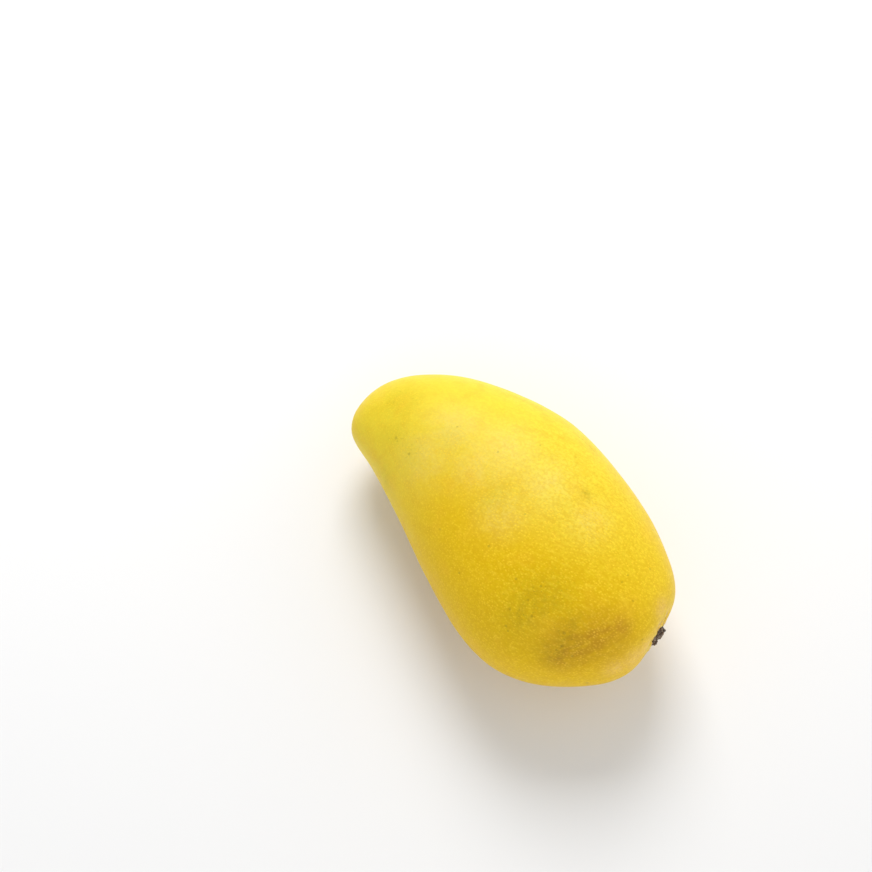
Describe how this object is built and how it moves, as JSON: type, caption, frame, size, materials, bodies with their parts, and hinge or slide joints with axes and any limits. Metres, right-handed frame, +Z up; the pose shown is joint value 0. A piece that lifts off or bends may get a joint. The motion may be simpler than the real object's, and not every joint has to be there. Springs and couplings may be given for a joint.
{
  "type": "mango",
  "caption": "Ripe yellow mango lying on its cheek, with the dried stub of its stem in the stem end. A whole fruit to set on a table, a shelf or a stall.",
  "frame": {"origin": "on the surface that the fruit rests on, under the middle of the whole part's box", "axes": "+X along the fruit towards the stem end, +Y towards the rounder back edge, +Z up through the thickness from the resting cheek"},
  "size_m": [0.1248, 0.077, 0.0579],
  "materials": {
    "skin": "satin waxy yellow skin with fine pale pores, golden underneath and towards the stem end, slightly green at the tip",
    "stem": "dry dark brown crust with a paler crumbly rim"
  },
  "bodies": {
    "root": {"fruit": "skin", "stem_stub": "stem"}
  },
  "joints": []
}
